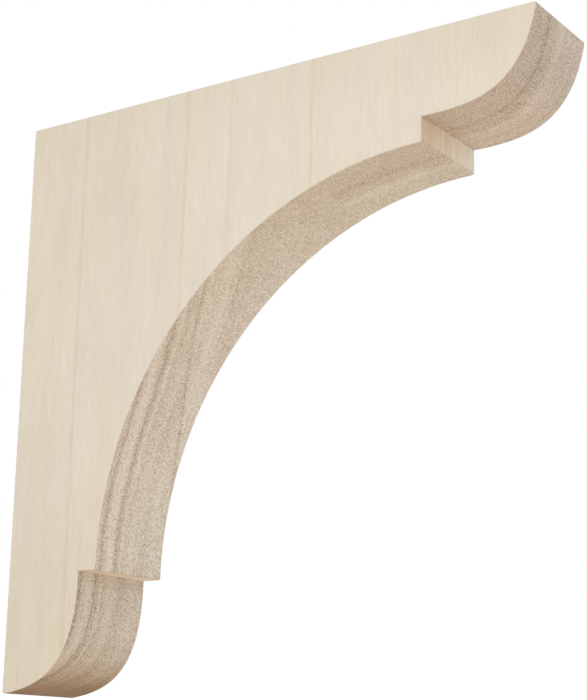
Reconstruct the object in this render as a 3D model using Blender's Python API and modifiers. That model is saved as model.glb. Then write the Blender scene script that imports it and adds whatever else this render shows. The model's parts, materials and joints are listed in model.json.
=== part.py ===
"""A wooden corbel bracket, sawn as one piece from a thick board.

It is seen side on as two square edges, one against the wall and one under the shelf, joined by a
cove. Each end of the cove steps back square and finishes in a rounded end. Run it with
blender --background --python part.py, or from Blender's text editor.

Frame: +X leads out from the wall, +Z up and +Y through the thickness. The origin is the middle of
the wall face. All lengths are in metres.
"""

import math

import bmesh
import bpy
from mathutils import Vector

# Board: the wall face's height, the shelf face's reach and the board's thickness
HEIGHT = 0.254
PROJECTION = 0.254
THICKNESS = 0.044

# Each rounded end is one Bezier. It leaves its tip a little off square, then turns until it lies
# along the face. The pulls are its two handles, as shares of the end's own depth and length.

# Rounded end under the shelf: how far it runs along the shelf face, and how deep it hangs
SHELF_END_LENGTH = 0.050
SHELF_END_DEPTH = 0.036
SHELF_TIP_LEAN = math.radians(10.5)
SHELF_TIP_PULL = 1.0
SHELF_FACE_PULL = 0.44

# Rounded end at the wall: how far it runs up the wall face, and how far it stands out
WALL_END_LENGTH = 0.050
WALL_END_DEPTH = 0.039
WALL_TIP_LEAN = math.radians(7.0)
WALL_TIP_PULL = 0.66
WALL_FACE_PULL = 0.73

# Square steps from the rounded ends out to the cove, at the shelf and at the wall
SHELF_STEP = 0.0105
WALL_STEP = 0.0092

# The cove is one arc from step to step
COVE_SWEEP = math.radians(89.0)

# Sanding takes this much off every outside corner
EASED_EDGE = 0.0008
EASED_SEGMENTS = 2
# A corner sharper than this is an edge. The facets of the round stretches turn far less, and
# faces that turn less than FLAT_TURN are one flat side.
EDGE_TURN = math.radians(30.0)
FLAT_TURN = math.radians(0.05)

# Straight runs in which each round stretch of the outline is drawn
ROUND_STEPS = 40
WELD_DISTANCE = 0.00001

WOOD_COLOUR = (0.74, 0.67, 0.55, 1.0)
WOOD_ROUGHNESS = 0.62


def clear_scene():
    for old in list(bpy.data.objects):
        bpy.data.objects.remove(old, do_unlink=True)


def bracket_collection():
    made = bpy.data.collections.new("Corbel bracket")
    bpy.context.scene.collection.children.link(made)
    return made


def wood():
    material = bpy.data.materials.new("pale sanded wood")
    material.use_nodes = True
    shader = material.node_tree.nodes["Principled BSDF"]
    shader.inputs["Base Color"].default_value = WOOD_COLOUR
    shader.inputs["Roughness"].default_value = WOOD_ROUGHNESS
    shader.inputs["Metallic"].default_value = 0.0
    return material


def corners():
    """The outline's corners, as (x, z) from the middle of the wall face."""
    top, bottom = HEIGHT / 2, -HEIGHT / 2
    shelf_step_x = PROJECTION - SHELF_END_LENGTH
    shelf_end_z = top - SHELF_END_DEPTH
    wall_step_z = bottom + WALL_END_LENGTH
    return {
        "wall_top": Vector((0.0, top)),
        "shelf_tip": Vector((PROJECTION, top)),
        "shelf_inner": Vector((shelf_step_x, shelf_end_z)),
        "shelf_outer": Vector((shelf_step_x, shelf_end_z - SHELF_STEP)),
        "wall_outer": Vector((WALL_END_DEPTH + WALL_STEP, wall_step_z)),
        "wall_inner": Vector((WALL_END_DEPTH, wall_step_z)),
        "wall_tip": Vector((0.0, bottom)),
    }


def cove_handles(start, end):
    """The two Bezier handles that bend a segment into an arc of COVE_SWEEP from start to end."""
    chord = end - start
    radius = chord.length / 2 / math.sin(COVE_SWEEP / 2)
    reach = radius * 4 / 3 * math.tan(COVE_SWEEP / 4)
    along = chord.normalized()
    across = Vector((along.y, -along.x))
    lean, rise = math.cos(COVE_SWEEP / 2), math.sin(COVE_SWEEP / 2)
    return (
        start + reach * (lean * along + rise * across),
        end + reach * (-lean * along + rise * across),
    )


def leaving_tip(lean, along, inward):
    """The direction in which a rounded end leaves its tip.

    along points from the tip along the square face, and inward points square to that face."""
    return math.sin(lean) * along + math.cos(lean) * inward


def shelf_end_handles(tip, inner):
    """The Bezier handles of the rounded end under the shelf, from its tip to its inner corner."""
    left, down = Vector((-1.0, 0.0)), Vector((0.0, -1.0))
    pull = SHELF_TIP_PULL * SHELF_END_DEPTH
    return (
        tip + pull * leaving_tip(SHELF_TIP_LEAN, left, down),
        inner - SHELF_FACE_PULL * SHELF_END_LENGTH * left,
    )


def wall_end_handles(tip, inner):
    """The Bezier handles of the rounded end at the wall, from its tip to its inner corner."""
    up, right = Vector((0.0, 1.0)), Vector((1.0, 0.0))
    pull = WALL_TIP_PULL * WALL_END_DEPTH
    return (
        tip + pull * leaving_tip(WALL_TIP_LEAN, up, right),
        inner - WALL_FACE_PULL * WALL_END_LENGTH * up,
    )


def outline():
    """The side view as a closed Bezier: (corner, handle before it, handle after it) in turn."""
    at = corners()
    shelf_tip_after, shelf_inner_before = shelf_end_handles(at["shelf_tip"], at["shelf_inner"])
    wall_tip_before, wall_inner_after = wall_end_handles(at["wall_tip"], at["wall_inner"])
    shelf_outer_after, wall_outer_before = cove_handles(at["shelf_outer"], at["wall_outer"])
    return [
        (at["wall_top"], None, None),
        (at["shelf_tip"], None, shelf_tip_after),
        (at["shelf_inner"], shelf_inner_before, None),
        (at["shelf_outer"], None, shelf_outer_after),
        (at["wall_outer"], wall_outer_before, None),
        (at["wall_inner"], None, wall_inner_after),
        (at["wall_tip"], wall_tip_before, None),
    ]


def sawn_board(collection):
    """The outline as a flat curve of the board's thickness, stood upright in the XZ plane."""
    curve = bpy.data.curves.new("bracket outline", "CURVE")
    curve.dimensions = "2D"
    curve.fill_mode = "BOTH"
    curve.extrude = THICKNESS / 2
    curve.resolution_u = ROUND_STEPS
    spline = curve.splines.new("BEZIER")
    points = outline()
    spline.bezier_points.add(len(points) - 1)
    spline.use_cyclic_u = True
    for point, (place, before, after) in zip(spline.bezier_points, points):
        point.co = (*place, 0.0)
        point.handle_left_type = "VECTOR" if before is None else "FREE"
        point.handle_right_type = "VECTOR" if after is None else "FREE"
        if before is not None:
            point.handle_left = (*before, 0.0)
        if after is not None:
            point.handle_right = (*after, 0.0)
    board = bpy.data.objects.new("bracket outline", curve)
    board.rotation_euler = (math.radians(90.0), 0.0, 0.0)
    collection.objects.link(board)
    return board


def as_mesh(board, name, collection):
    """The curve as a mesh object of its own, with its two flat sides welded to its edge."""
    bpy.context.view_layer.update()
    graph = bpy.context.evaluated_depsgraph_get()
    mesh = bpy.data.meshes.new_from_object(board.evaluated_get(graph))
    mesh.name = name
    made = bpy.data.objects.new(name, mesh)
    made.matrix_world = board.matrix_world
    collection.objects.link(made)
    bpy.data.objects.remove(board, do_unlink=True)
    return made


def mark_outside_corners(body):
    """Welds the mesh into one shell, then marks each outside corner for the bevel.

    The inside corners of the steps stay sharp, as the saw leaves them."""
    shell = bmesh.new()
    shell.from_mesh(body.data)
    bmesh.ops.remove_doubles(shell, verts=shell.verts, dist=WELD_DISTANCE)
    bmesh.ops.recalc_face_normals(shell, faces=shell.faces)
    bmesh.ops.dissolve_limit(
        shell, angle_limit=FLAT_TURN, verts=shell.verts[:], edges=shell.edges[:]
    )
    weight = shell.edges.layers.float.new("bevel_weight_edge")
    for edge in shell.edges:
        if edge.calc_face_angle_signed() > EDGE_TURN:
            edge[weight] = 1.0
    shell.to_mesh(body.data)
    shell.free()


def ease_edges(body):
    bevel = body.modifiers.new("eased edges", "BEVEL")
    bevel.limit_method = "WEIGHT"
    bevel.width = EASED_EDGE
    bevel.segments = EASED_SEGMENTS
    bevel.use_clamp_overlap = True


def corbel_bracket():
    collection = bracket_collection()
    body = as_mesh(sawn_board(collection), "corbel_bracket", collection)
    mark_outside_corners(body)
    body.data.materials.clear()
    body.data.materials.append(wood())
    body.data.shade_smooth()
    body.data.set_sharp_from_angle(angle=EDGE_TURN)
    ease_edges(body)


clear_scene()
corbel_bracket()
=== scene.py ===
# %% [markdown]
# # A wooden corbel bracket
# A corbel is the solid bracket under a shelf or a mantel. This one is sawn as a single piece from
# a thick board of pale wood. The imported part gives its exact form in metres: +X leads out from the
# wall, +Z is up, and +Y goes through the thickness, away from the side that we look at. The lesson
# takes that form, refines its surface, grows the wood in it, and sets it up in a white studio.

import json
from math import pi, radians

import bpy
from mathutils import Matrix, Vector

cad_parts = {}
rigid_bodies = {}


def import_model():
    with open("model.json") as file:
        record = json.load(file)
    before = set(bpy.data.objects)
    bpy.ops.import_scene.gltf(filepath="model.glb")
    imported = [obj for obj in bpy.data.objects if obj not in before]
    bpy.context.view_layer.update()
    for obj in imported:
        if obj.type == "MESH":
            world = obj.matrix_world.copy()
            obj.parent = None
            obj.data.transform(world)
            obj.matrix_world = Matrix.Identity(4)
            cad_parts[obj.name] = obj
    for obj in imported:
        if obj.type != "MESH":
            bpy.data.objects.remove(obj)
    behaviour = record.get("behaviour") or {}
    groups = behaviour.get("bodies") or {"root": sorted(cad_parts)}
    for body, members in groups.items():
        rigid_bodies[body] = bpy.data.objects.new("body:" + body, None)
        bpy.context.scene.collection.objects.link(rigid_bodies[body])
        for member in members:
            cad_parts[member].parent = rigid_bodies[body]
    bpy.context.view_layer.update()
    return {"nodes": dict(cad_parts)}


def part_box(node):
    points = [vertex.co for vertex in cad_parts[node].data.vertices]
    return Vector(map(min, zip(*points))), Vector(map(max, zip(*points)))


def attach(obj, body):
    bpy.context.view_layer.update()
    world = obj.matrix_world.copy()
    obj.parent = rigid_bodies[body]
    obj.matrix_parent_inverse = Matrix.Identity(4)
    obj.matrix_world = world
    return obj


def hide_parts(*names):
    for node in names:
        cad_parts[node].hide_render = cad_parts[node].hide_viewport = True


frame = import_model()
solid = frame["nodes"]["corbel_bracket"]
low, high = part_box("corbel_bracket")
thickness = high.y - low.y
print("bracket box in mm:", [round(side * 1000, 1) for side in high - low])

# %% [markdown]
# ## The outline of the saw cut
# The whole bracket is one side view, sawn square through the board. The part's solid already holds
# that side view, so it is traced from there and nothing has to be measured twice. A copy of the
# solid has its loose triangles merged, its flat areas made one face each, and is then cut at the
# middle of its thickness. The ring that the cut leaves is the outline. A drawn Bezier curve would
# do as well, but it could drift away from the solid.


# %% Trace the outline
def work_on(piece):
    """Makes this the only selected object, and the one that operators act on."""
    bpy.ops.object.select_all(action="DESELECT")
    piece.select_set(True)
    bpy.context.view_layer.objects.active = piece


# Points closer than this are one point, and faces that turn less than this are one flat
WELD = 0.00001
FLAT_TURN = radians(0.05)

bracket = bpy.data.objects.new("sawn_bracket", solid.data.copy())
bpy.context.scene.collection.objects.link(bracket)
work_on(bracket)
bpy.ops.object.mode_set(mode="EDIT")
bpy.ops.mesh.select_all(action="SELECT")
bpy.ops.mesh.remove_doubles(threshold=WELD)
bpy.ops.mesh.dissolve_limited(angle_limit=FLAT_TURN)
bpy.ops.mesh.select_all(action="SELECT")
bpy.ops.mesh.bisect(plane_co=(0, 0, 0), plane_no=(0, 1, 0), clear_inner=True, clear_outer=True)
bpy.ops.mesh.select_all(action="SELECT")
bpy.ops.mesh.dissolve_limited(angle_limit=FLAT_TURN)
bpy.ops.object.mode_set(mode="OBJECT")
print("outline:", len(bracket.data.vertices), "points,", len(bracket.data.edges), "edges")

# %% [markdown]
# ## The board from its outline
# A real bracket starts as a board as thick as the solid, and the saw follows the outline. Here the
# ring is filled as one face in the middle of the board, and a Solidify modifier gives it thickness
# to both sides. Every sawn surface is then square to the flat sides, as a bandsaw leaves it. An
# extrusion makes the same form, but its new faces come in another order each time, and the steps
# that follow would round their numbers in another way on each run.

# %% Thicken the board
bpy.ops.object.mode_set(mode="EDIT")
bpy.ops.mesh.select_all(action="SELECT")
bpy.ops.mesh.edge_face_add()
bpy.ops.object.mode_set(mode="OBJECT")
board = bracket.modifiers.new("board", "SOLIDIFY")
board.thickness = thickness
board.offset = 0
bpy.ops.object.modifier_apply(modifier=board.name)
bpy.ops.object.mode_set(mode="EDIT")
bpy.ops.mesh.select_all(action="SELECT")
bpy.ops.mesh.normals_make_consistent(inside=False)
bpy.ops.object.mode_set(mode="OBJECT")
print("board:", len(bracket.data.polygons), "faces")

# %% [markdown]
# ## Which surface is which
# The saw and the grain give this bracket three kinds of surface, and each gets a finish of its own
# later: planed along the grain, sawn round and sanded, and cut square. All faces start as sawn.
# Each stretch of the edge is still one large face or a run of them between sharp edges, so it is
# easy to pick: the face nearest to a place on it is selected, and the selection grows until it
# meets sharp edges.

# %% Sort the surfaces
SHARP = radians(12)
PLANED, SAWN, CUT = 0, 1, 2
STRETCHES = {
    "wall face": ((low.x, 0.0, 0.0), PLANED),
    "shelf face": ((0.127, 0.0, high.z), CUT),
    "step beside the shelf end": ((0.204, 0.0, 0.086), CUT),
    "step above the wall end": ((0.043, 0.0, -0.077), CUT),
}


def choose(kind, wanted):
    """Selects only those faces or edges of the bracket for which wanted is true."""
    bpy.ops.object.mode_set(mode="EDIT")
    bpy.ops.mesh.select_mode(type={"polygons": "FACE", "edges": "EDGE"}[kind])
    bpy.ops.mesh.select_all(action="DESELECT")
    bpy.ops.object.mode_set(mode="OBJECT")
    for element in getattr(bracket.data, kind):
        element.select = wanted(element)
    bpy.ops.object.mode_set(mode="EDIT")


def give_finish(finish):
    """Gives the selected faces a material slot, and returns how many there are."""
    bracket.active_material_index = finish
    bpy.ops.object.material_slot_assign()
    bpy.ops.object.mode_set(mode="OBJECT")
    return sum(face.select for face in bracket.data.polygons)


bracket.data.materials.clear()
for name in ("planed side grain", "sawn and sanded", "square cut"):
    bracket.data.materials.append(bpy.data.materials.new(name))
choose("polygons", lambda face: True)
give_finish(SAWN)
choose("edges", lambda edge: False)
bpy.ops.mesh.edges_select_sharp(sharpness=SHARP)
bpy.ops.mesh.mark_sharp()
bpy.ops.object.mode_set(mode="OBJECT")
for name, (place, finish) in STRETCHES.items():
    nearest = min(bracket.data.polygons, key=lambda face: (face.center - Vector(place)).length)
    number = nearest.index
    choose("polygons", lambda face: face.index == number)
    bpy.ops.mesh.select_linked(delimit={"SHARP"})
    print(name, "has", give_finish(finish), "faces")

# %% [markdown]
# ## A smooth skin
# The solid's round stretches are straight runs of a few millimetres. A Subdivision Surface turns
# them into true curves, and creases hold every sharp edge where it is. The two flat sides are
# taken off first and put back afterwards as one face each. The other flats are then merged too,
# so that only the curves keep fine strips. Points left beside a corner would get in the way of the
# bevel that comes next: it would move them past each other, and the skin would fold.

# %% Refine the skin
LEVELS = 3
SQUARE_ON = 0.9999


def is_flat_side(face):
    """Whether the face looks straight out through the thickness."""
    return abs(face.normal.y) > SQUARE_ON


choose("polygons", is_flat_side)
bpy.ops.mesh.delete(type="ONLY_FACE")
choose("edges", lambda edge: edge.use_edge_sharp)
bpy.ops.transform.edge_crease(value=1)
bpy.ops.object.mode_set(mode="OBJECT")

smoother = bracket.modifiers.new("true curves", "SUBSURF")
smoother.levels = smoother.render_levels = LEVELS
bpy.ops.object.modifier_apply(modifier=smoother.name)
bpy.ops.object.mode_set(mode="EDIT")
bpy.ops.mesh.select_all(action="SELECT")
bpy.ops.mesh.fill_holes(sides=0)
bpy.ops.mesh.select_all(action="SELECT")
bpy.ops.mesh.normals_make_consistent(inside=False)
choose("polygons", is_flat_side)
give_finish(PLANED)
choose("polygons", lambda face: True)
bpy.ops.mesh.dissolve_limited(angle_limit=FLAT_TURN, delimit={"MATERIAL"})
bpy.ops.object.mode_set(mode="OBJECT")
print("smooth skin:", len(bracket.data.polygons), "faces")

# %% [markdown]
# ## Eased arrises
# The corners along both flat sides look crisp in the hand, but a few strokes of sandpaper have
# taken a little off, and that is what catches the light. A bevel around each flat side does this.
# It stays narrower than the eased tips of the outline, so that it never folds over itself there.

# %% Ease the arrises
ARRIS = 0.0005
ARRIS_STEPS = 3

choose("polygons", is_flat_side)
bpy.ops.mesh.region_to_loop()
bpy.ops.mesh.bevel(
    offset=ARRIS, segments=ARRIS_STEPS, affect="EDGES", clamp_overlap=False, material=PLANED
)
bpy.ops.object.mode_set(mode="OBJECT")
print("with eased arrises:", len(bracket.data.polygons), "faces")

# %% [markdown]
# ## Shading that keeps the flats flat
# The round stretches have to look round and the flat sides dead flat, although they share the
# eased arrises. Shading by angle keeps the inner corners of the steps sharp. Weighted normals then
# let each large flat face decide how its own border is shaded, so no gloss creeps in from an arris.

# %% Shade the skin
# An edge that turns more than this stays crisp
CRISP_TURN = radians(25)

work_on(bracket)
bpy.ops.object.shade_smooth_by_angle(angle=CRISP_TURN)
steadier = bracket.modifiers.new("flats stay flat", "WEIGHTED_NORMAL")
steadier.keep_sharp = True
bpy.ops.object.modifier_apply(modifier=steadier.name)
print("shaded:", bracket.name)

# %% [markdown]
# ## Which way each face cuts the grain
# The grain runs up the board, so a face that looks up or down cuts straight across its fibres, and
# one that looks sideways runs along them. Cut ends drink in the light and look browner. Each face
# keeps its own figure for this in an attribute: 0 along the grain and 1 across it. The materials
# read it, so that the cove turns browner bit by bit as it bends over to the shelf.

# %% Mark the end grain
MOSTLY = 0.7

end_grain = bracket.data.attributes.new("end grain", "FLOAT", "FACE")
end_grain.data.foreach_set("value", [abs(face.normal.z) for face in bracket.data.polygons])
print("faces cut mostly across the grain:", sum(item.value > MOSTLY for item in end_grain.data))

# %% [markdown]
# ## The wood inside
# Grain doesn't lie on a surface. It runs through the whole board, and each cut shows it at another
# angle: long lines where the cut follows it, dots and bands where it crosses. So the wood is one
# node group that reads the position inside the board in millimetres. The grain runs along Z. The
# board is glued up from two staves, each from another tree, so the growth rings are circles around
# one centre up to the joint and around another past it. A picture of wood wrapped around the piece
# would break at every edge, and this doesn't.


# %% Helpers for node trees
def add_node(tree, kind, **settings):
    """Adds a node and sets its own settings, and the default of any input named by its place."""
    node = tree.nodes.new(kind)
    inputs = settings.pop("inputs", {})
    for name, value in settings.items():
        setattr(node, name, value)
    for name, value in inputs.items():
        node.inputs[name].default_value = value
    return node


def join(tree, *pairs):
    """Links (output, input) pairs."""
    for output, into in pairs:
        tree.links.new(output, into)


def reckon(tree, operation, first, second):
    """A Math node on two numbers, each a socket or a plain value."""
    node = add_node(tree, "ShaderNodeMath", operation=operation)
    for place, value in enumerate((first, second)):
        if isinstance(value, (int, float)):
            node.inputs[place].default_value = value
        else:
            tree.links.new(value, node.inputs[place])
    return node.outputs[0]


def ramp(tree, factor, stops, interpolation="LINEAR"):
    """A Color Ramp through (position, colour) stops."""
    node = add_node(tree, "ShaderNodeValToRGB")
    node.color_ramp.interpolation = interpolation
    while len(node.color_ramp.elements) < len(stops):
        node.color_ramp.elements.new(1.0)
    for element, (position, colour) in zip(node.color_ramp.elements, stops):
        element.position = position
        element.color = (*colour, 1.0)
    tree.links.new(factor, node.inputs["Fac"])
    return node.outputs["Color"]


def noise(tree, vector, scale=1.0, detail=2.0, roughness=0.5):
    """The outputs of a Noise Texture, whose values are near 0.5 on average."""
    sizes = {"Scale": scale, "Detail": detail, "Roughness": roughness}
    node = add_node(tree, "ShaderNodeTexNoise", inputs=sizes)
    tree.links.new(vector, node.inputs["Vector"])
    return node.outputs


def stretched(tree, vector, sizes):
    """The vector measured in units of these sizes along X, Y and Z."""
    node = add_node(tree, "ShaderNodeVectorMath", operation="DIVIDE")
    node.inputs[1].default_value = sizes
    tree.links.new(vector, node.inputs[0])
    return node.outputs[0]


helpers = (add_node, join, reckon, ramp, noise, stretched)
print("node helpers:", [helper.__name__ for helper in helpers])

# %% The growth in the board
# The board reaches this far from the wall, and is as high as that
REACH_MM = 254.0

# Each stave: where it starts in mm from the wall, and the centre of its growth rings in mm
STAVES = [(0.0, (52.0, -63.0)), (153.0, (195.0, -300.0))]
# Ring centres are stored as colours, so they are squeezed into 0 to 1 and let out again
CENTRE_RANGE_MM = 800.0

# Distances are divided by this, to become places from 0 to 1 on a ramp
LAYER_RANGE_MM = 400.0
# Growth layers that stand out: ring radius in mm, and shade from 0 to 1. The radii above 200 mm
# are in the second stave.
LAYERS = [
    (40.0, 0.50),
    (43.5, 0.50),
    (45.5, 0.18),
    (47.0, 0.55),
    (49.5, 0.80),
    (51.5, 0.74),
    (53.0, 0.48),
    (55.0, 0.20),
    (56.8, 0.52),
    (58.2, 0.74),
    (60.0, 0.42),
    (62.0, 0.54),
    (66.0, 0.60),
    (71.0, 0.44),
    (75.0, 0.58),
    (84.0, 0.50),
    (290.0, 0.50),
    (295.0, 0.46),
    (297.0, 0.22),
    (299.0, 0.52),
    (304.0, 0.46),
    (307.5, 0.74),
    (310.0, 0.56),
    (322.0, 0.50),
]
# How strongly the thin rings show, by ring radius in mm
RING_STRENGTHS = [(0.0, 1.0), (70.0, 1.0), (95.0, 0.35), (200.0, 0.35), (270.0, 0.8)]
# Streaks that cross the rings, square to this direction: distance in mm, and shade
CROSSING = (0.66, 0.75, 0.0)
CROSS_LAYERS = [
    (51.2, 0.50),
    (51.9, 0.05),
    (52.4, 0.05),
    (53.1, 0.58),
    (60.0, 0.62),
    (64.5, 0.54),
    (67.5, 0.40),
    (69.5, 0.50),
]

# Tint of the wood by its distance from the wall in mm
STAVE_TINTS = [
    (0.0, (0.965, 0.950, 0.930)),
    (32.0, (0.975, 0.962, 0.945)),
    (89.0, (0.985, 0.978, 0.968)),
    (113.0, (1.0, 1.0, 1.0)),
    (225.0, (0.985, 0.975, 0.962)),
]
# Upright lines: where they are in mm, their tint, and how far they reach before and after
LINES = [
    (32.0, (0.930, 0.905, 0.815), 1.0, 1.6),
    (89.0, (0.945, 0.890, 0.860), 1.6, 1.2),
    (112.0, (0.955, 0.930, 0.855), 0.7, 1.4),
    (153.0, (0.880, 0.840, 0.735), 0.5, 0.9),
    (156.0, (0.985, 0.965, 0.895), 1.9, 3.0),
    (219.0, (0.965, 0.945, 0.885), 0.7, 1.2),
]
print("growth layers that stand out:", len(LAYERS), "and lines:", len(LINES))

# %% The wood node group
# Sizes in mm of the slow wander of the grain: across the board, through it and along the grain
WANDER_SIZES = (60.0, 60.0, 130.0)

grown = bpy.data.node_groups.new("grown wood", "ShaderNodeTree")
for name, standard in (
    ("Ring Width", 2.2),
    ("Fibre Width", 0.6),
    ("Fibre Length", 40.0),
    ("Pore Width", 0.26),
    ("Pore Length", 0.40),
    ("Wander", 4.0),
):
    socket = grown.interface.new_socket(name, in_out="INPUT", socket_type="NodeSocketFloat")
    socket.default_value = standard
for name in ("Rings", "Layers", "Fibres", "Flecks", "Pores", "Clouds", "Heartwood"):
    grown.interface.new_socket(name, in_out="OUTPUT", socket_type="NodeSocketFloat")
for name in ("Stave Tint", "Line Tint"):
    grown.interface.new_socket(name, in_out="OUTPUT", socket_type="NodeSocketColor")
given = add_node(grown, "NodeGroupInput")
result = add_node(grown, "NodeGroupOutput")

place = add_node(grown, "ShaderNodeTexCoord").outputs["Object"]
in_mm = stretched(grown, place, (0.001, 0.001, 0.001))

# The tree never grew quite straight: everything wanders a little along the grain
drift = noise(grown, stretched(grown, in_mm, WANDER_SIZES), detail=1.0)["Color"]
centred = add_node(grown, "ShaderNodeVectorMath", operation="SUBTRACT")
centred.inputs[1].default_value = (0.5, 0.5, 0.5)
join(grown, (drift, centred.inputs[0]))
sway = add_node(grown, "ShaderNodeVectorMath", operation="SCALE")
join(grown, (centred.outputs[0], sway.inputs[0]), (given.outputs["Wander"], sway.inputs["Scale"]))
wandered = add_node(grown, "ShaderNodeVectorMath", operation="ADD")
join(grown, (in_mm, wandered.inputs[0]), (sway.outputs[0], wandered.inputs[1]))
parts = add_node(grown, "ShaderNodeSeparateXYZ")
join(grown, (wandered.outputs[0], parts.inputs[0]))
along_board = reckon(grown, "DIVIDE", parts.outputs["X"], REACH_MM)
print("wood group inputs:", [socket.name for socket in given.outputs if socket.name])

# %% [markdown]
# ## Rings, fibres and pores
# A growth ring is the distance from the stave's ring centre, cut into ring widths, so noise that
# is read along that distance gives bands that are never quite alike. A few layers stand out, and a
# ramp over the same distance places them. Fibres are noise drawn out along the grain. Pores are
# small cells, longer than wide, each with a shade of its own, so they are dots on end grain and
# short dashes on side grain, with no special case for either.

# %% Rings
# A ring keeps its width for about this far along the grain
RING_LENGTH_MM = 60.0
# The two staves read the ring noise this far apart, in its own units, so that they don't match
STAVE_APART = 97.0

centres = [
    (start / REACH_MM, (x / CENTRE_RANGE_MM + 0.5, y / CENTRE_RANGE_MM + 0.5, 0.0))
    for start, (x, y) in STAVES
]
card = add_node(grown, "ShaderNodeSeparateXYZ")
join(grown, (ramp(grown, along_board, centres, "CONSTANT"), card.inputs[0]))
centre = add_node(grown, "ShaderNodeCombineXYZ")
for axis in ("X", "Y"):
    squeezed = reckon(grown, "SUBTRACT", card.outputs[axis], 0.5)
    join(grown, (reckon(grown, "MULTIPLY", squeezed, CENTRE_RANGE_MM), centre.inputs[axis]))
level = add_node(grown, "ShaderNodeCombineXYZ")
join(grown, (parts.outputs["X"], level.inputs["X"]), (parts.outputs["Y"], level.inputs["Y"]))
radius = add_node(grown, "ShaderNodeVectorMath", operation="DISTANCE")
join(grown, (level.outputs[0], radius.inputs[0]), (centre.outputs[0], radius.inputs[1]))
rings_out = reckon(grown, "DIVIDE", radius.outputs["Value"], given.outputs["Ring Width"])
ring_place = add_node(grown, "ShaderNodeCombineXYZ")
join(
    grown,
    (rings_out, ring_place.inputs["X"]),
    (reckon(grown, "DIVIDE", parts.outputs["Z"], RING_LENGTH_MM), ring_place.inputs["Y"]),
    (reckon(grown, "MULTIPLY", card.outputs["X"], STAVE_APART), ring_place.inputs["Z"]),
)


def shades(distance, layers):
    """A grey for each distance in mm, through (distance, shade) stops."""
    stops = [(place / LAYER_RANGE_MM, (shade, shade, shade)) for place, shade in layers]
    return ramp(grown, reckon(grown, "DIVIDE", distance, LAYER_RANGE_MM), stops)


even = noise(grown, ring_place.outputs[0], detail=2.0, roughness=0.6)["Fac"]
strength = shades(radius.outputs["Value"], RING_STRENGTHS)
swing = reckon(grown, "MULTIPLY", reckon(grown, "SUBTRACT", even, 0.5), strength)
rings = reckon(grown, "ADD", swing, 0.5)
crossing = add_node(grown, "ShaderNodeVectorMath", operation="DOT_PRODUCT")
crossing.inputs[1].default_value = CROSSING
join(grown, (wandered.outputs[0], crossing.inputs[0]))
across_rings = reckon(grown, "SUBTRACT", shades(crossing.outputs["Value"], CROSS_LAYERS), 0.5)
layers = reckon(grown, "ADD", shades(radius.outputs["Value"], LAYERS), across_rings)
print("rings:", len(STAVES), "staves, with ring centres in mm at", [middle for _, middle in STAVES])

# %% Fibres and pores
# Cells below this shade come out lighter than the wood around them, and the others darker
LIGHT_CELLS = 0.35


def drawn_out(width, length):
    """The place in the board, in units of a width across the grain and a length along it."""
    sizes = add_node(grown, "ShaderNodeCombineXYZ")
    for axis, size in (("X", width), ("Y", width), ("Z", length)):
        join(grown, (given.outputs[size], sizes.inputs[axis]))
    node = add_node(grown, "ShaderNodeVectorMath", operation="DIVIDE")
    join(grown, (in_mm, node.inputs[0]), (sizes.outputs[0], node.inputs[1]))
    return node.outputs[0]


fibres = noise(grown, drawn_out("Fibre Width", "Fibre Length"), detail=3.0, roughness=0.65)["Fac"]
cells = add_node(grown, "ShaderNodeTexVoronoi", inputs={"Scale": 1.0})
shade_of_cell = add_node(grown, "ShaderNodeSeparateXYZ")
pores = add_node(
    grown, "ShaderNodeMapRange", clamp=False, inputs={"From Min": LIGHT_CELLS, "From Max": 1.0}
)
join(
    grown,
    (drawn_out("Pore Width", "Pore Length"), cells.inputs["Vector"]),
    (cells.outputs["Color"], shade_of_cell.inputs[0]),
    (shade_of_cell.outputs["X"], pores.inputs["Value"]),
)
print("fibres and pores:", len(grown.nodes), "nodes so far")

# %% [markdown]
# ## Clouds, torn flecks and tints
# Over the fine grain lie slower changes. Clouds are broad patches of warmer or cooler wood. Coarser
# flecks come in patches, where the sander has torn the fibres a little, and more so in the lighter
# and softer layers. The near side of the board is closer to the heart of the tree, which is
# browner. Last come the tints that change with the distance from the wall: one for the staves, and
# one for the thin upright lines.

# %% Clouds, flecks and tints
# Sizes in mm across the board, through it and along the grain
CLOUD_SIZES = (10.0, 18.0, 110.0)
FLECK_SIZES = (0.9, 0.7, 1.6)
# Sizes in mm of the torn patches: across the rings, across the board and along the grain
PATCH_SIZES = (6.0, 22.0, 40.0)
# Noise below the first value is sound wood, and above the second it is fully torn
PATCH_EDGES = (0.46, 0.70)
# How much more a light layer is torn than a dark one
SOFTER_LAYERS = 0.8
HALF_THICKNESS_MM = 22.0
UNTINTED = (1.0, 1.0, 1.0)

clouds = noise(grown, stretched(grown, in_mm, CLOUD_SIZES), detail=2.0)["Fac"]
coarse = noise(grown, stretched(grown, in_mm, FLECK_SIZES), detail=1.0)["Fac"]
patch_place = add_node(grown, "ShaderNodeCombineXYZ")
for distance, size, axis in zip(
    (radius.outputs["Value"], parts.outputs["X"], parts.outputs["Z"]), PATCH_SIZES, "XYZ"
):
    join(grown, (reckon(grown, "DIVIDE", distance, size), patch_place.inputs[axis]))
softness = reckon(grown, "MULTIPLY", reckon(grown, "SUBTRACT", layers, 0.5), SOFTER_LAYERS)
patchy = reckon(grown, "ADD", noise(grown, patch_place.outputs[0], detail=1.0)["Fac"], softness)
sound, torn_through = PATCH_EDGES
patches = add_node(
    grown, "ShaderNodeMapRange", inputs={"From Min": sound, "From Max": torn_through}
)
join(grown, (patchy, patches.inputs["Value"]))
torn = reckon(grown, "MULTIPLY", reckon(grown, "SUBTRACT", coarse, 0.5), patches.outputs["Result"])
flecks = reckon(grown, "ADD", torn, 0.5)
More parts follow.
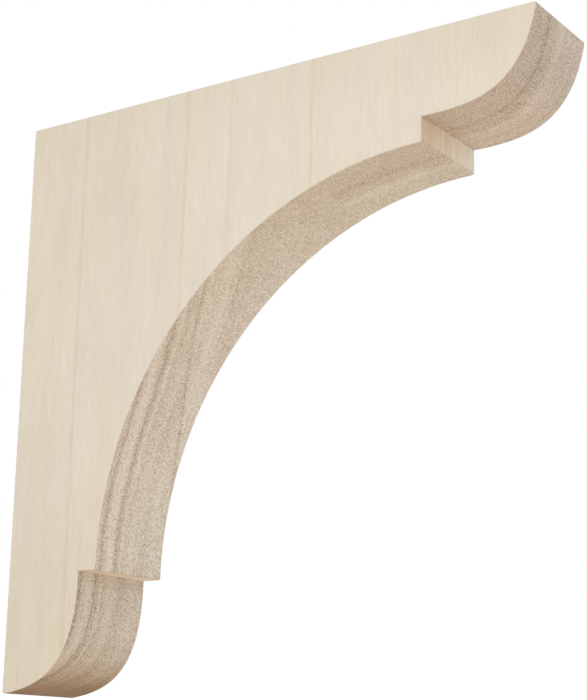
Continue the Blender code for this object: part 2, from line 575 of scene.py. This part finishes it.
heartwood = add_node(
    grown,
    "ShaderNodeMapRange",
    inputs={"From Min": HALF_THICKNESS_MM, "From Max": -HALF_THICKNESS_MM},
)
join(grown, (parts.outputs["Y"], heartwood.inputs["Value"]))

line_tints = [(0.0, UNTINTED)]
for start, tint, before, after in LINES:
    line_tints += [
        ((start - before) / REACH_MM, UNTINTED),
        (start / REACH_MM, tint),
        ((start + after) / REACH_MM, UNTINTED),
    ]
stave_tints = [(start / REACH_MM, tint) for start, tint in STAVE_TINTS]
join(
    grown,
    (rings, result.inputs["Rings"]),
    (layers, result.inputs["Layers"]),
    (fibres, result.inputs["Fibres"]),
    (pores.outputs["Result"], result.inputs["Pores"]),
    (clouds, result.inputs["Clouds"]),
    (heartwood.outputs["Result"], result.inputs["Heartwood"]),
    (flecks, result.inputs["Flecks"]),
    (ramp(grown, along_board, stave_tints), result.inputs["Stave Tint"]),
    (ramp(grown, along_board, line_tints), result.inputs["Line Tint"]),
)
print("wood group:", len(grown.nodes), "nodes")

# %% [markdown]
# ## Three finishes
# All three read the same wood. Planed side grain is pale cream, with hardly any contrast and fine
# upright lines. The sawn and sanded stretches are browner, because the cut ends of the fibres take
# the light in, and they show rings, pores and a rougher surface. The square cuts are a warm cream
# between the two. One material with masks could hold them all, but three short ones are easier to
# read and to change.


# %% Helpers for a finish
def start_finish(name, **wood_sizes):
    """Clears a material to a Principled BSDF and a wood group, and returns the tree and both."""
    material = bpy.data.materials[name]
    material.use_nodes = True
    tree = material.node_tree
    tree.nodes.clear()
    shader = add_node(tree, "ShaderNodeBsdfPrincipled")
    join(tree, (shader.outputs[0], add_node(tree, "ShaderNodeOutputMaterial").inputs["Surface"]))
    wood = add_node(tree, "ShaderNodeGroup", node_tree=grown)
    for size, value in wood_sizes.items():
        wood.inputs[size.replace("_", " ").title()].default_value = value
    return tree, shader, wood


def blend_of(tree, wood, **shares):
    """Adds up the group's patterns, each by its share, around 0.5.

    Pores count from 0, where a cell is as light as the wood around it."""
    total = 0.5
    for pattern, share in shares.items():
        value = wood.outputs[pattern.title()]
        if pattern != "pores":
            value = reckon(tree, "SUBTRACT", value, 0.5)
        total = reckon(tree, "ADD", reckon(tree, "MULTIPLY", value, share), total)
    return total


def tinted(tree, colour, tint, amount):
    """The colour multiplied by a tint, as far as amount says, which is a socket or a number."""
    mix = add_node(tree, "ShaderNodeMix", data_type="RGBA", blend_type="MULTIPLY")
    # Its colour sockets share their names with others, so they are found by their place
    factor, into, by = mix.inputs["Factor"], mix.inputs[6], mix.inputs[7]
    for value, socket in ((colour, into), (tint, by), (amount, factor)):
        if isinstance(value, tuple):
            socket.default_value = (*value, 1.0)
        elif isinstance(value, float):
            socket.default_value = value
        else:
            tree.links.new(value, socket)
    return mix.outputs[2]


def share_cut_across(tree):
    """How squarely the surface cuts across the grain, from 0 to 1."""
    return add_node(tree, "ShaderNodeAttribute", attribute_name="end grain").outputs["Fac"]


def by_height(tree, stops, shift=0.0, lean=0.0):
    """A tint through (height in mm, tint) stops.

    The shift in metres is added to the height, and the lean is a slope through the thickness."""
    place = add_node(tree, "ShaderNodeSeparateXYZ")
    climb = add_node(tree, "ShaderNodeMapRange", inputs={"From Min": low.z, "From Max": high.z})
    join(tree, (add_node(tree, "ShaderNodeTexCoord").outputs["Object"], place.inputs[0]))
    slope = reckon(tree, "MULTIPLY", place.outputs["Y"], lean)
    height = reckon(tree, "ADD", reckon(tree, "ADD", place.outputs["Z"], shift), slope)
    join(tree, (height, climb.inputs["Value"]))
    stops = [(z / REACH_MM + 0.5, tint) for z, tint in stops]
    return ramp(tree, climb.outputs["Result"], stops)


def finish_off(tree, shader, colour, roughness, height, depth):
    """Sets the colour, the roughness, and a bump of this depth in metres from a height pattern."""
    bump = add_node(tree, "ShaderNodeBump", inputs={"Distance": depth, "Strength": 1.0})
    shader.inputs["Roughness"].default_value = roughness
    join(
        tree,
        (colour, shader.inputs["Base Color"]),
        (height, bump.inputs["Height"]),
        (bump.outputs[0], shader.inputs["Normal"]),
    )


print("finishes to make:", [material.name for material in bracket.data.materials])

# %% [markdown]
# ## Planed side grain
# The flat sides came off a planer, so they are smooth and show the wood along its fibres: broad
# pale figure, fine upright fibres and a few lines. The colours are tints laid over each other, as
# thin washes would be: stave, line, pinker or yellower growth, heart and height. The tint by
# height is partly the wood's own yellower tone and partly painted shade towards the top and foot.

# %% Planed side grain
PLANED_SHADES = [(0.36, (0.692, 0.628, 0.542)), (0.62, (0.770, 0.714, 0.638))]
PLANED_HEARTWOOD = (0.995, 0.985, 0.970)
# By height in mm: the wood is a little yellower towards the foot, which is its own tone, and the
# side is a little darker towards its top and its foot, which is painted shade.
PLANED_TONE_AND_SHADE = [
    (-127.0, (0.960, 0.940, 0.885)),
    (-75.0, (0.980, 0.965, 0.930)),
    (-45.0, (0.995, 0.990, 0.985)),
    (20.0, (1.0, 1.0, 1.0)),
    (85.0, (0.995, 0.988, 0.980)),
    (127.0, (0.970, 0.962, 0.940)),
]
# Some growth is pinker and some yellower
PINKER_TO_YELLOWER = [(0.38, (1.0, 0.980, 0.962)), (0.62, (1.0, 0.988, 0.930))]
PLANED_ROUGHNESS = 0.6
PLANED_DEPTH = 0.00003

tree, shader, wood = start_finish(
    "planed side grain", ring_width=7.0, fibre_width=0.7, fibre_length=10.0
)
figure = blend_of(tree, wood, rings=0.34, fibres=0.50, clouds=0.20)
colour = ramp(tree, figure, PLANED_SHADES)
colour = tinted(tree, colour, wood.outputs["Stave Tint"], 1.0)
colour = tinted(tree, colour, wood.outputs["Line Tint"], 1.0)
colour = tinted(tree, colour, ramp(tree, wood.outputs["Clouds"], PINKER_TO_YELLOWER), 1.0)
colour = tinted(tree, colour, PLANED_HEARTWOOD, wood.outputs["Heartwood"])
# The tint by height is partly the wood's own tone and partly painted shade
colour = tinted(tree, colour, by_height(tree, PLANED_TONE_AND_SHADE), 1.0)
finish_off(tree, shader, colour, PLANED_ROUGHNESS, wood.outputs["Fibres"], PLANED_DEPTH)
print("planed side grain:", len(tree.nodes), "nodes")

# %% [markdown]
# ## Sawn and sanded
# The cove and the rounded ends were sawn and then sanded, across the fibres in one place and along
# them in the next. Every pattern of the wood shows here: growth layers as long streaks, rings,
# open pores and torn flecks. The shades of height come last, because they colour whole stretches
# and leave the figure in them alone. They make the rounded ends a little browner, and under the
# foot they are partly its browner end grain and partly painted shade.

# %% Sawn and sanded
SAWN_SHADES = [
    (0.05, (0.325, 0.225, 0.150)),
    (0.41, (0.748, 0.636, 0.514)),
    (0.57, (0.831, 0.741, 0.629)),
    (0.90, (0.960, 0.912, 0.842)),
]
SAWN_HEARTWOOD = (0.930, 0.900, 0.860)
# How the cut ends of the fibres darken a surface
END_GRAIN = (0.990, 0.935, 0.860)
# By height in mm: the rounded ends are a little browner than the cove, and the middle of the cove a
# little lighter. The foot is darkest, partly its browner end grain and partly painted shade.
SAWN_TONE_AND_SHADE = [
    (-127.0, (0.39, 0.265, 0.150)),
    (-123.8, (0.495, 0.350, 0.215)),
    (-121.0, (0.620, 0.510, 0.390)),
    (-117.0, (0.75, 0.685, 0.605)),
    (-112.0, (0.85, 0.815, 0.770)),
    (-104.0, (0.92, 0.910, 0.895)),
    (-77.0, (0.93, 0.92, 0.90)),
    (-76.0, (1.0, 1.0, 1.0)),
    (-40.0, (1.020, 1.030, 1.040)),
    (45.0, (1.030, 1.040, 1.050)),
    (70.0, (1.000, 1.000, 1.000)),
    (80.0, (0.985, 0.975, 0.965)),
    (92.0, (0.930, 0.890, 0.875)),
    (104.0, (0.875, 0.855, 0.870)),
    (127.0, (0.930, 0.910, 0.930)),
]
# What is added to the height per metre towards the far side, which so counts as a little lower
HEIGHT_LEAN = -0.06
# How far up or down, in metres, a ring pushes the borders between the shades of height
RAGGED = 0.010
SAWN_ROUGHNESS = 0.75
SAWN_DEPTH = 0.00005

tree, shader, wood = start_finish(
    "sawn and sanded", ring_width=1.0, fibre_width=0.35, fibre_length=1.5
)
figure = blend_of(
    tree, wood, rings=0.34, layers=0.52, fibres=0.10, flecks=0.34, clouds=0.12, pores=-0.40
)
colour = ramp(tree, figure, SAWN_SHADES)
colour = tinted(tree, colour, wood.outputs["Stave Tint"], 1.0)
colour = tinted(tree, colour, SAWN_HEARTWOOD, wood.outputs["Heartwood"])
colour = tinted(tree, colour, END_GRAIN, share_cut_across(tree))
ragged = reckon(tree, "MULTIPLY", reckon(tree, "SUBTRACT", wood.outputs["Rings"], 0.5), RAGGED)
# The tint by height holds a painted shade under the foot, on top of the wood's own tones
colour = tinted(tree, colour, by_height(tree, SAWN_TONE_AND_SHADE, ragged, HEIGHT_LEAN), 1.0)
finish_off(tree, shader, colour, SAWN_ROUGHNESS, wood.outputs["Pores"], SAWN_DEPTH)
print("sawn and sanded:", len(tree.nodes), "nodes")

# %% [markdown]
# ## Square cut
# The two steps and the shelf face are plain square cuts. They are warmer and lighter than the sawn
# edge, with close rings and fibres, and where they cut the fibres across they are darker, but show
# less of the heart's brown. Rings and fibres have large shares here, because nothing else shows.

# %% Square cut
CUT_SHADES = [(0.30, (0.765, 0.630, 0.488)), (0.66, (0.955, 0.882, 0.770))]
CUT_HEARTWOOD = (0.830, 0.720, 0.580)
CUT_END_GRAIN = (0.950, 0.860, 0.740)
# How much of the heart's brown is lost where the cut is square across the grain
HEART_LOST = 0.5
CUT_ROUGHNESS = 0.7
CUT_DEPTH = 0.00004

tree, shader, wood = start_finish("square cut", ring_width=1.2, fibre_width=0.4, fibre_length=30.0)
figure = blend_of(tree, wood, rings=0.9, fibres=0.9)
colour = ramp(tree, figure, CUT_SHADES)
across = share_cut_across(tree)
less_heart = reckon(tree, "MULTIPLY", across, -HEART_LOST)
heart_left = reckon(tree, "ADD", wood.outputs["Heartwood"], less_heart)
colour = tinted(tree, colour, CUT_HEARTWOOD, heart_left)
colour = tinted(tree, colour, CUT_END_GRAIN, across)
finish_off(tree, shader, colour, CUT_ROUGHNESS, wood.outputs["Pores"], CUT_DEPTH)
print("square cut:", len(tree.nodes), "nodes")

# %% [markdown]
# ## The studio
# The bracket is shown as in a catalogue: hung in front of plain white, in light that comes from
# everywhere. The camera sees a pure white world, which lights the piece a little more dimly than
# it looks. That leaves room for two large soft lamps, in front and behind, and a small low one that
# lifts the undersides. The floor is a wide pale sheet well below the piece and below every lamp, so
# that no lamp draws a line on it.

# %% Set up the white world
SOFT_LIGHT = 0.97

scene = bpy.context.scene
scene.view_settings.view_transform = "Standard"
world = bpy.data.worlds.new("white studio")
world.use_nodes = True
backdrop = world.node_tree.nodes["Background"]
backdrop.inputs["Color"].default_value = (1.0, 1.0, 1.0, 1.0)
soft_light = add_node(world.node_tree, "ShaderNodeBackground", inputs={"Strength": SOFT_LIGHT})
seen = add_node(world.node_tree, "ShaderNodeLightPath")
either = add_node(world.node_tree, "ShaderNodeMixShader")
join(
    world.node_tree,
    (seen.outputs["Is Camera Ray"], either.inputs[0]),
    (soft_light.outputs[0], either.inputs[1]),
    (backdrop.outputs[0], either.inputs[2]),
    (either.outputs[0], world.node_tree.nodes["World Output"].inputs["Surface"]),
)
scene.world = world
print("world:", world.name, "lights at", SOFT_LIGHT)

# %% Lay the floor
FLOOR_DROP = 0.80
FLOOR_SIZE = 40.0
FLOOR_COLOUR = (0.86, 0.85, 0.83, 1.0)
FLOOR_ROUGHNESS = 0.8

bpy.ops.mesh.primitive_plane_add(size=FLOOR_SIZE, location=(0, 0, -FLOOR_DROP))
floor = bpy.context.object
floor.name = "pale_floor"
paint = bpy.data.materials.new("pale floor paint")
paint.use_nodes = True
coat = paint.node_tree.nodes["Principled BSDF"]
coat.inputs["Base Color"].default_value = FLOOR_COLOUR
coat.inputs["Roughness"].default_value = FLOOR_ROUGHNESS
floor.data.materials.append(paint)
print("floor:", FLOOR_DROP, "m below the middle of the wall face")

# %% Set up the lamps
# Each lamp: its place and size in metres, and its power in watts
LAMPS = {
    "front lamp": ((0.3, -1.6, 0.6), 1.2, 8.0),
    "back lamp": ((-0.3, 1.6, 0.6), 1.2, 7.0),
    "low lamp": ((0.7, -0.4, -0.37), 0.6, 1.0),
}


def add_lamp(name, place, aim, size, watts):
    """A square area lamp at a place, pointing at another."""
    lamp = bpy.data.lights.new(name, "AREA")
    lamp.size = size
    lamp.energy = watts
    stand = bpy.data.objects.new(name, lamp)
    scene.collection.objects.link(stand)
    stand.location = place
    stand.rotation_euler = (Vector(aim) - Vector(place)).to_track_quat("-Z", "Y").to_euler()


for name, (place, size, watts) in LAMPS.items():
    add_lamp(name, place, (low + high) / 2, size, watts)

# %% [markdown]
# ## The camera
# The camera stands below the bracket, to the right of its flat side, and looks up. Aiming it at a
# point would leave no say in its roll, so it is placed by its turn about the upright, its rise
# above level and a slight roll.

# %% Place the camera
CAMERA_PLACE = (0.5083, -0.5495, -0.1561)
CAMERA_TURN = radians(34.46)
CAMERA_RISE = radians(14.1)
CAMERA_ROLL = radians(1.1)
LENS_MM = 86.0
SENSOR_MM = 36.0

view = bpy.data.cameras.new("camera")
view.sensor_fit = "AUTO"
view.sensor_width = SENSOR_MM
view.lens = LENS_MM
camera = bpy.data.objects.new("camera", view)
scene.collection.objects.link(camera)
camera.matrix_world = (
    Matrix.Translation(CAMERA_PLACE)
    @ Matrix.Rotation(CAMERA_TURN, 4, "Z")
    @ Matrix.Rotation(pi / 2 + CAMERA_RISE, 4, "X")
    @ Matrix.Rotation(CAMERA_ROLL, 4, "Z")
)
scene.camera = camera
print("camera at", CAMERA_PLACE, "with a lens of", LENS_MM, "mm")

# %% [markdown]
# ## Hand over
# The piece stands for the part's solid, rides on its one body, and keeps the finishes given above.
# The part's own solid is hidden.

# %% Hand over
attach(bracket, "root")
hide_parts("corbel_bracket")
